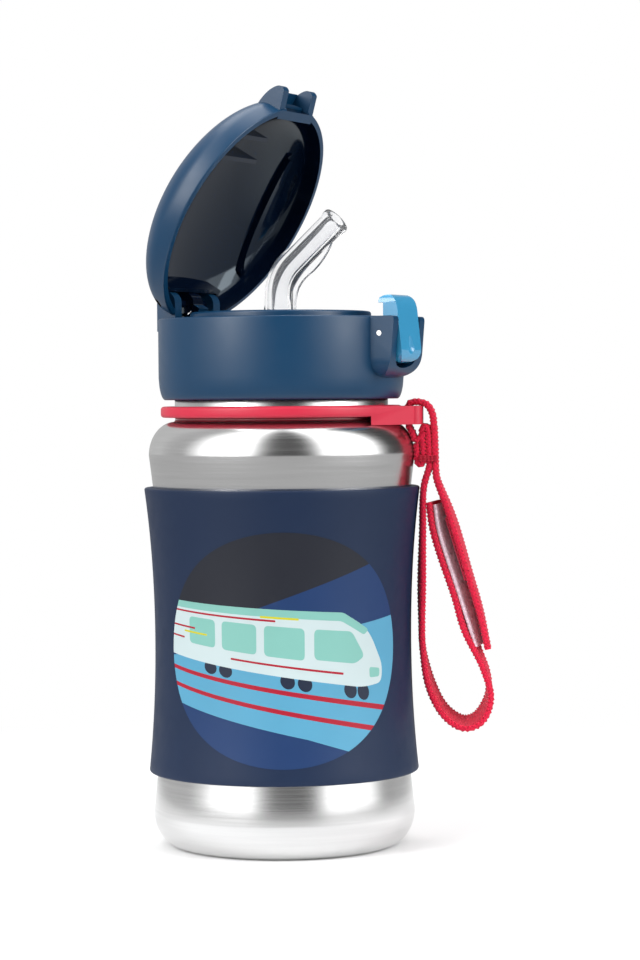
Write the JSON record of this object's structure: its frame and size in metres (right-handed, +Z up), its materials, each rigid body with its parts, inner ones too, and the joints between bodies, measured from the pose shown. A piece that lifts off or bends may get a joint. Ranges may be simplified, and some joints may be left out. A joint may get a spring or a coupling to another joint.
{
  "type": "straw sippy cup",
  "caption": "Toddler's steel straw cup with a silicone sleeve, a screw cap, a latched flip lid, a folding silicone spout and a wrist strap on a ring round the neck.",
  "frame": {"origin": "centre of the bottle's flat foot, where it rests on a table", "axes": "+Z up along the bottle, +X towards the latch, -X towards the lid hinge, hinge axes along Y"},
  "size_m": [0.0914, 0.0742, 0.2024],
  "materials": {
    "bottle_shell": "horizontally brushed, satin",
    "sleeve": "matte silicone with a flat print",
    "strap_ring": "matte silicone",
    "strap_loop": "woven webbing",
    "strap_keeper": "folded woven webbing",
    "strap_stitching": "thread",
    "strap_webbing": "woven webbing",
    "strap_tail": "woven webbing",
    "hook_patch": "hook tape",
    "loop_patch": "brushed loop tape",
    "cap_gasket": "matte silicone",
    "cap_shell": "satin moulding",
    "vent_valve": "matte silicone",
    "hinge_pin": "ground",
    "lid_spring": "drawn wire",
    "latch_pin": "ground",
    "latch_spring": "drawn wire",
    "spout_base": "clear silicone",
    "spout_tip": "clear silicone",
    "straw_tube": "clear extrusion",
    "lid_shell": "satin outside, glossy inside",
    "latch": "glossy moulding"
  },
  "bodies": {
    "bottle": {"bottle_shell": "bottle_shell", "sleeve": "sleeve"},
    "ring": {"strap_ring": "strap_ring", "strap_loop": "strap_loop"},
    "strap": {"strap_keeper": "strap_keeper", "strap_stitching": "strap_stitching", "strap_webbing": "strap_webbing", "strap_tail": "strap_tail", "hook_patch": "hook_patch", "loop_patch": "loop_patch"},
    "seal": {"cap_gasket": "cap_gasket"},
    "cap": {"cap_shell": "cap_shell", "vent_valve": "vent_valve", "hinge_pin": "hinge_pin", "lid_spring": "lid_spring", "latch_pin": "latch_pin", "latch_spring": "latch_spring", "spout_base": "spout_base", "straw_tube": "straw_tube"},
    "lid": {"lid_shell": "lid_shell"},
    "spout": {"spout_tip": "spout_tip"},
    "latch": {"latch": "latch"}
  },
  "joints": [
    {"name": "cap_lift", "type": "slide", "parent": "bottle", "child": "seal", "axis": [0, 0, 1], "range_m": [0, 0.0061]},
    {"name": "cap_twist", "type": "hinge", "parent": "seal", "child": "cap", "pos_m": [0, 0, 0.13], "axis": [0, 0, 1], "range_deg": [0, 540]},
    {"name": "lid_hinge", "type": "hinge", "parent": "cap", "child": "lid", "pos_m": [-0.0289, 0, 0.1458], "axis": [0, 1, 0], "range_deg": [0, 59.3], "stiffness_Nm_per_rad": 0.006, "springref_deg": -34.38},
    {"name": "spout_fold", "type": "hinge", "parent": "cap", "child": "spout", "pos_m": [0, 0, 0.1525], "axis": [0, 1, 0], "range_deg": [0, 55.5]},
    {"name": "latch_pivot", "type": "hinge", "parent": "cap", "child": "latch", "pos_m": [0.034, 0, 0.1367], "axis": [0, 1, 0], "range_deg": [-6, 12], "stiffness_Nm_per_rad": 0.02},
    {"name": "ring_swivel", "type": "hinge", "parent": "bottle", "child": "ring", "pos_m": [0, 0, 0.1164], "axis": [0, 0, 1], "continuous": true},
    {"name": "strap_swing", "type": "hinge", "parent": "ring", "child": "strap", "pos_m": [0.03563, 0.01586, 0.1098], "axis": [0.4067, -0.9135, 0], "range_deg": [0, 50]}
  ],
  "couplings": [
    {"joint": "cap_lift", "follows": "cap_twist", "m_per_rad": 0.00063662},
    {"joint": "spout_fold", "follows": "lid_hinge", "ratio": 0.9275}
  ]
}
